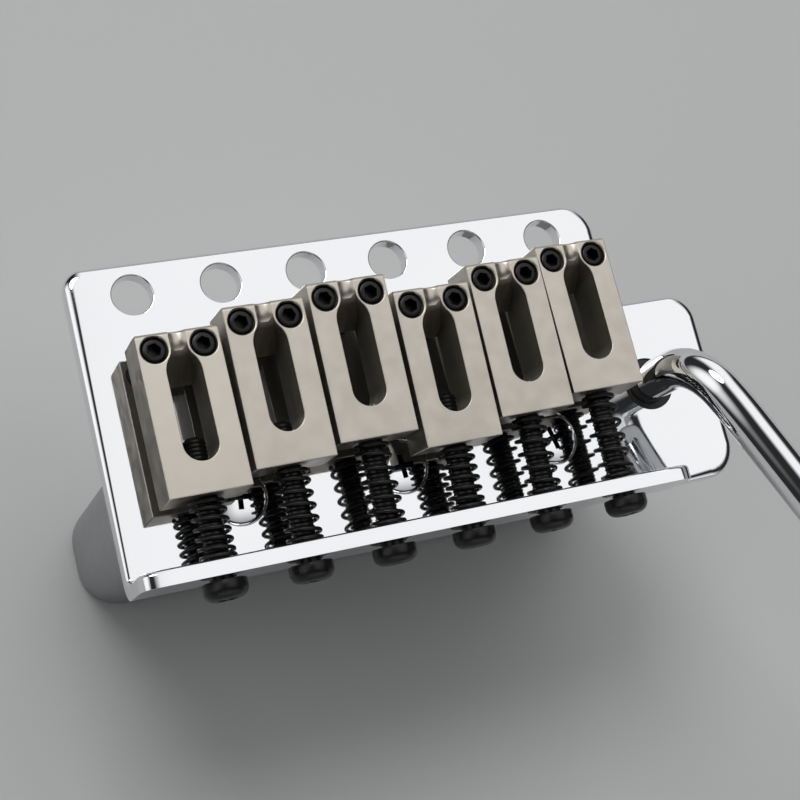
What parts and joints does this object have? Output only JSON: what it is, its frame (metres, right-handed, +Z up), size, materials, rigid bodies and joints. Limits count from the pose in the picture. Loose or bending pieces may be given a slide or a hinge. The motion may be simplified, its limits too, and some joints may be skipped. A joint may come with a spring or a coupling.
{
  "type": "guitar tremolo bridge",
  "caption": "Chromed pivoting bridge plate on a deep block, with sliding string saddles on sprung screws and a bent arm that swings in a bush.",
  "frame": {"origin": "middle of the row of six pivot holes, on the plate's underside", "axes": "+X along the row of holes towards the arm, +Y towards the plate's pivot edge, +Z up out of the plate's top"},
  "size_m": [0.1196, 0.1262, 0.061],
  "materials": {
    "mirror_chrome": "polished",
    "satin_nickel": "satin",
    "black_steel": "black oxide, semi-gloss",
    "grey_casting": "satin",
    "black_plastic": "moulded"
  },
  "bodies": {
    "base": {"base_plate": "mirror_chrome", "tremolo_block": "grey_casting", "block_screws": "mirror_chrome", "arm_bush": "black_plastic"},
    "arm": {"tremolo_arm": "mirror_chrome", "arm_tip": "black_plastic"},
    "lean_1": {"intonation_spring_1": "black_steel"},
    "screw_1": {"intonation_screw_1": "black_steel"},
    "saddle_1": {"saddle_1": "satin_nickel"},
    "height_1": {"height_screws_1": "black_steel"},
    "lean_2": {"intonation_spring_2": "black_steel"},
    "screw_2": {"intonation_screw_2": "black_steel"},
    "saddle_2": {"saddle_2": "satin_nickel"},
    "height_2": {"height_screws_2": "black_steel"},
    "lean_3": {"intonation_spring_3": "black_steel"},
    "screw_3": {"intonation_screw_3": "black_steel"},
    "saddle_3": {"saddle_3": "satin_nickel"},
    "height_3": {"height_screws_3": "black_steel"},
    "lean_4": {"intonation_spring_4": "black_steel"},
    "screw_4": {"intonation_screw_4": "black_steel"},
    "saddle_4": {"saddle_4": "satin_nickel"},
    "height_4": {"height_screws_4": "black_steel"},
    "lean_5": {"intonation_spring_5": "black_steel"},
    "screw_5": {"intonation_screw_5": "black_steel"},
    "saddle_5": {"saddle_5": "satin_nickel"},
    "height_5": {"height_screws_5": "black_steel"},
    "lean_6": {"intonation_spring_6": "black_steel"},
    "screw_6": {"intonation_screw_6": "black_steel"},
    "saddle_6": {"saddle_6": "satin_nickel"},
    "height_6": {"height_screws_6": "black_steel"}
  },
  "joints": [
    {"name": "arm_swing", "type": "hinge", "parent": "base", "child": "arm", "pos_m": [0.03765, -0.022, 0], "axis": [0, 0, 1], "range_deg": [-30, 165]},
    {"name": "lean_1", "type": "hinge", "parent": "base", "child": "lean_1", "pos_m": [-0.0259, -0.0354, 0.0066], "axis": [1, 0, 0], "range_deg": [-1, 5]},
    {"name": "spin_1", "type": "hinge", "parent": "lean_1", "child": "screw_1", "pos_m": [-0.0259, -0.0354, 0.0066], "axis": [0, 1, 0], "range_deg": [-1080, 2160]},
    {"name": "intonate_1", "type": "slide", "parent": "lean_1", "child": "saddle_1", "axis": [0, 1, 0], "range_m": [-0.003, 0.0015], "deforming": ["intonation_spring_1"]},
    {"name": "raise_1", "type": "slide", "parent": "saddle_1", "child": "height_1", "axis": [0, 0, 1], "range_m": [-0.00227, 0.00046]},
    {"name": "lean_2", "type": "hinge", "parent": "base", "child": "lean_2", "pos_m": [-0.0153, -0.0354, 0.0066], "axis": [1, 0, 0], "range_deg": [-3.35, 2.65]},
    {"name": "spin_2", "type": "hinge", "parent": "lean_2", "child": "screw_2", "pos_m": [-0.0153, -0.0354, 0.0066], "axis": [0, 0.9992, 0.0411], "range_deg": [-1080, 2160]},
    {"name": "intonate_2", "type": "slide", "parent": "lean_2", "child": "saddle_2", "axis": [0, 0.9992, 0.0411], "range_m": [-0.003, 0.0015], "deforming": ["intonation_spring_2"]},
    {"name": "raise_2", "type": "slide", "parent": "saddle_2", "child": "height_2", "axis": [0, -0.0411, 0.9992], "range_m": [-0.00129, 0.00163]},
    {"name": "lean_3", "type": "hinge", "parent": "base", "child": "lean_3", "pos_m": [-0.0047, -0.0354, 0.0066], "axis": [1, 0, 0], "range_deg": [-4.38, 1.62]},
    {"name": "spin_3", "type": "hinge", "parent": "lean_3", "child": "screw_3", "pos_m": [-0.0047, -0.0354, 0.0066], "axis": [0, 0.9983, 0.059], "range_deg": [-1080, 2160]},
    {"name": "intonate_3", "type": "slide", "parent": "lean_3", "child": "saddle_3", "axis": [0, 0.9983, 0.059], "range_m": [-0.003, 0.0015], "deforming": ["intonation_spring_3"]},
    {"name": "raise_3", "type": "slide", "parent": "saddle_3", "child": "height_3", "axis": [0, -0.059, 0.9983], "range_m": [-0.00083, 0.00222]},
    {"name": "lean_4", "type": "hinge", "parent": "base", "child": "lean_4", "pos_m": [0.0059, -0.0354, 0.0066], "axis": [1, 0, 0], "range_deg": [-4.67, 1.33]},
    {"name": "spin_4", "type": "hinge", "parent": "lean_4", "child": "screw_4", "pos_m": [0.0059, -0.0354, 0.0066], "axis": [0, 0.998, 0.0639], "range_deg": [-1080, 2160]},
    {"name": "intonate_4", "type": "slide", "parent": "lean_4", "child": "saddle_4", "axis": [0, 0.998, 0.0639], "range_m": [-0.003, 0.0015], "deforming": ["intonation_spring_4"]},
    {"name": "raise_4", "type": "slide", "parent": "saddle_4", "child": "height_4", "axis": [0, -0.0639, 0.998], "range_m": [-0.00063, 0.00217]},
    {"name": "lean_5", "type": "hinge", "parent": "base", "child": "lean_5", "pos_m": [0.0165, -0.0354, 0.0066], "axis": [1, 0, 0], "range_deg": [-3.29, 2.71]},
    {"name": "spin_5", "type": "hinge", "parent": "lean_5", "child": "screw_5", "pos_m": [0.0165, -0.0354, 0.0066], "axis": [0, 0.9992, 0.0399], "range_deg": [-1080, 2160]},
    {"name": "intonate_5", "type": "slide", "parent": "lean_5", "child": "saddle_5", "axis": [0, 0.9992, 0.0399], "range_m": [-0.003, 0.0015], "deforming": ["intonation_spring_5"]},
    {"name": "raise_5", "type": "slide", "parent": "saddle_5", "child": "height_5", "axis": [0, -0.0399, 0.9992], "range_m": [-0.00136, 0.00165]},
    {"name": "lean_6", "type": "hinge", "parent": "base", "child": "lean_6", "pos_m": [0.0271, -0.0354, 0.0066], "axis": [1, 0, 0], "range_deg": [-1, 5]},
    {"name": "spin_6", "type": "hinge", "parent": "lean_6", "child": "screw_6", "pos_m": [0.0271, -0.0354, 0.0066], "axis": [0, 1, 0], "range_deg": [-1080, 2160]},
    {"name": "intonate_6", "type": "slide", "parent": "lean_6", "child": "saddle_6", "axis": [0, 1, 0], "range_m": [-0.003, 0.0015], "deforming": ["intonation_spring_6"]},
    {"name": "raise_6", "type": "slide", "parent": "saddle_6", "child": "height_6", "axis": [0, 0, 1], "range_m": [-0.00261, 0.00053]}
  ],
  "couplings": [
    {"joint": "spin_1", "follows": "intonate_1", "rad_per_m": -12566},
    {"joint": "raise_1", "follows": "lean_1", "m_per_rad": -0.02595},
    {"joint": "spin_2", "follows": "intonate_2", "rad_per_m": -12566},
    {"joint": "raise_2", "follows": "lean_2", "m_per_rad": -0.02765},
    {"joint": "spin_3", "follows": "intonate_3", "rad_per_m": -12566},
    {"joint": "raise_3", "follows": "lean_3", "m_per_rad": -0.02895},
    {"joint": "spin_4", "follows": "intonate_4", "rad_per_m": -12566},
    {"joint": "raise_4", "follows": "lean_4", "m_per_rad": -0.02655},
    {"joint": "spin_5", "follows": "intonate_5", "rad_per_m": -12566},
    {"joint": "raise_5", "follows": "lean_5", "m_per_rad": -0.02855},
    {"joint": "spin_6", "follows": "intonate_6", "rad_per_m": -12566},
    {"joint": "raise_6", "follows": "lean_6", "m_per_rad": -0.02985}
  ]
}
